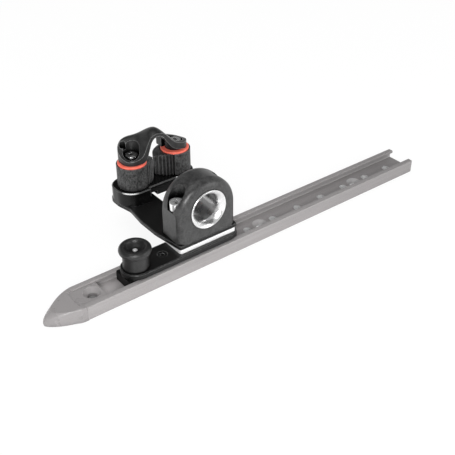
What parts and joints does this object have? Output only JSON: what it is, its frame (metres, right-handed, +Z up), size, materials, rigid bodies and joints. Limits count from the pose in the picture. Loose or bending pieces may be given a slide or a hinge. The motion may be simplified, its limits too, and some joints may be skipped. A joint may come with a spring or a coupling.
{
  "type": "traveller track with fairlead car",
  "caption": "Slotted track with a plunger-stopped car that carries a bushed fairlead block and a cam cleat on a side arm.",
  "frame": {"origin": "on the track's underside, at the middle one of its three deck fastener holes", "axes": "+X along the track, away from the end cap; +Y across the track, towards the cam cleat; +Z up from the deck"},
  "size_m": [0.336, 0.0944, 0.0746],
  "materials": {
    "track_alloy": "hard anodised, warm grey, fine drawn lines",
    "cap_plastic": "moulded, warm grey, satin",
    "black_plastic": "moulded, fine texture, satin",
    "black_alloy": "black anodised, satin",
    "cam_composite": "carbon-filled, mottled, matte",
    "ring_plastic": "orange-red, satin",
    "polished_steel": "polished stainless steel",
    "bright_alloy": "bright machined",
    "spring_steel": "drawn stainless wire",
    "ball_plastic": "natural acetal"
  },
  "bodies": {
    "rail": {"track": "track_alloy", "end_cap": "cap_plastic"},
    "car": {"slider": "black_plastic", "car_plate": "black_alloy", "plate_screws": "black_alloy", "plunger_housing": "spring_steel", "base_plate": "bright_alloy", "arm_plate": "black_alloy", "fairlead_block": "black_plastic", "bore_bush": "polished_steel", "block_screw_left": "polished_steel", "block_screw_right": "polished_steel", "cleat_base": "black_plastic", "cam_balls_left": "ball_plastic", "cam_balls_right": "ball_plastic", "cam_spring_left": "spring_steel", "cam_spring_right": "spring_steel", "cleat_bridge": "black_plastic", "cleat_screw_left": "polished_steel", "cleat_screw_right": "polished_steel", "cleat_nuts": "polished_steel"},
    "plunger": {"stop_pin": "polished_steel", "plunger_spring": "spring_steel", "plunger_knob": "black_plastic"},
    "left_cam": {"cam_left": "cam_composite", "wear_ring_left": "ring_plastic"},
    "right_cam": {"cam_right": "cam_composite", "wear_ring_right": "ring_plastic"}
  },
  "joints": [
    {"name": "car_slide", "type": "slide", "parent": "rail", "child": "car", "axis": [1, 0, 0], "range_m": [-0.0162, 0.181]},
    {"name": "knob_pull", "type": "slide", "parent": "car", "child": "plunger", "axis": [0, 0, 1], "range_m": [0, 0.005], "stiffness_N_per_m": 400, "springref_m": -0.01, "deforming": ["plunger_spring"]},
    {"name": "left_cam_turn", "type": "hinge", "parent": "car", "child": "left_cam", "pos_m": [-0.06825, 0.067, 0.042], "axis": [0, 0, 1], "range_deg": [0, 25], "stiffness_Nm_per_rad": 0.02, "springref_deg": -28.65},
    {"name": "right_cam_turn", "type": "hinge", "parent": "car", "child": "right_cam", "pos_m": [-0.03025, 0.067, 0.042], "axis": [0, 0, 1], "range_deg": [-25, 0], "stiffness_Nm_per_rad": 0.02, "springref_deg": 28.65}
  ]
}
